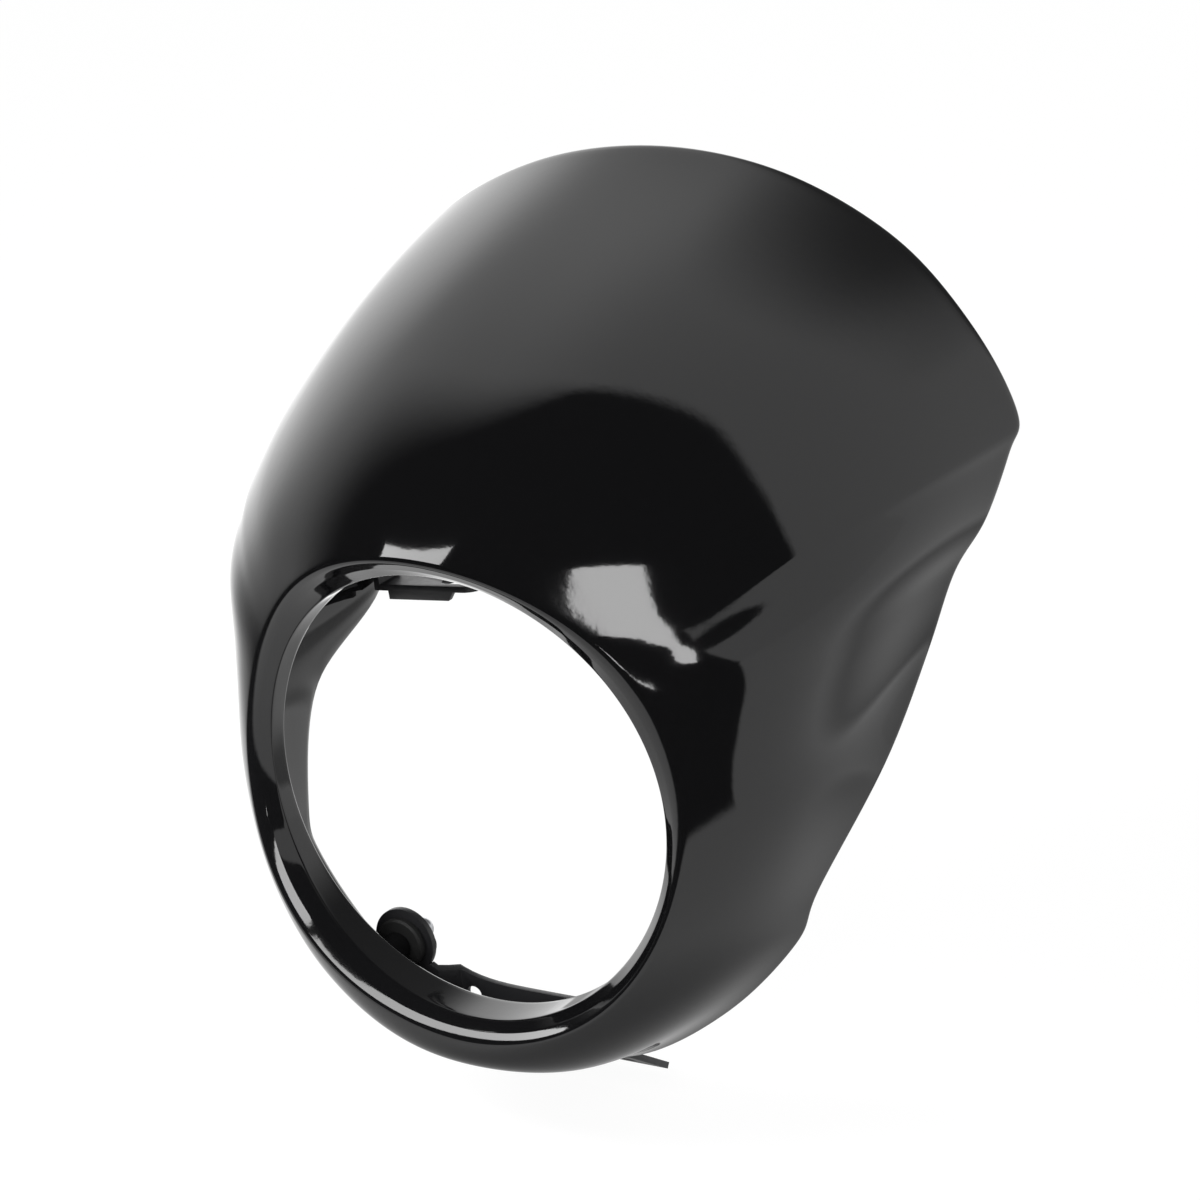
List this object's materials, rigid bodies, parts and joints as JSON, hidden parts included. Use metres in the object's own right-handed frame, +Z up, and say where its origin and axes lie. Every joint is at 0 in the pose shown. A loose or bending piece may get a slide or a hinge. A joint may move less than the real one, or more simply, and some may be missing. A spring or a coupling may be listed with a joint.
{
  "type": "headlight cowl",
  "caption": "Gloss black moulded motorbike headlight cowl with a round lamp opening, a swept visor with wing tips and a steel bracket inside.",
  "frame": {"origin": "centre of the round lamp opening, in the mean plane of its front edge", "axes": "-Y forward out of the lamp opening, +Z up, +X to the right of someone facing the cowl"},
  "size_m": [0.2958, 0.1912, 0.3303],
  "materials": {
    "shell": "gloss black moulded plastic",
    "satin_steel": "satin black coated sheet steel",
    "steel": "zinc plated steel",
    "rubber": "dull black rubber",
    "brass": "plain brass"
  },
  "bodies": {
    "root": {"cowl_shell": "shell", "lower_bracket": "satin_steel", "lower_stud_left": "steel", "lower_stud_right": "steel", "rubber_washer_left": "rubber", "rubber_washer_right": "rubber", "plain_washer_left": "steel", "plain_washer_right": "steel", "cap_nut_left": "steel", "cap_nut_right": "steel", "upper_tongue_left": "satin_steel", "upper_tongue_right": "satin_steel", "tongue_screw_left": "steel", "tongue_screw_right": "steel", "tongue_washer_left": "steel", "tongue_washer_right": "steel", "insert_left": "brass", "insert_right": "brass"}
  },
  "joints": []
}
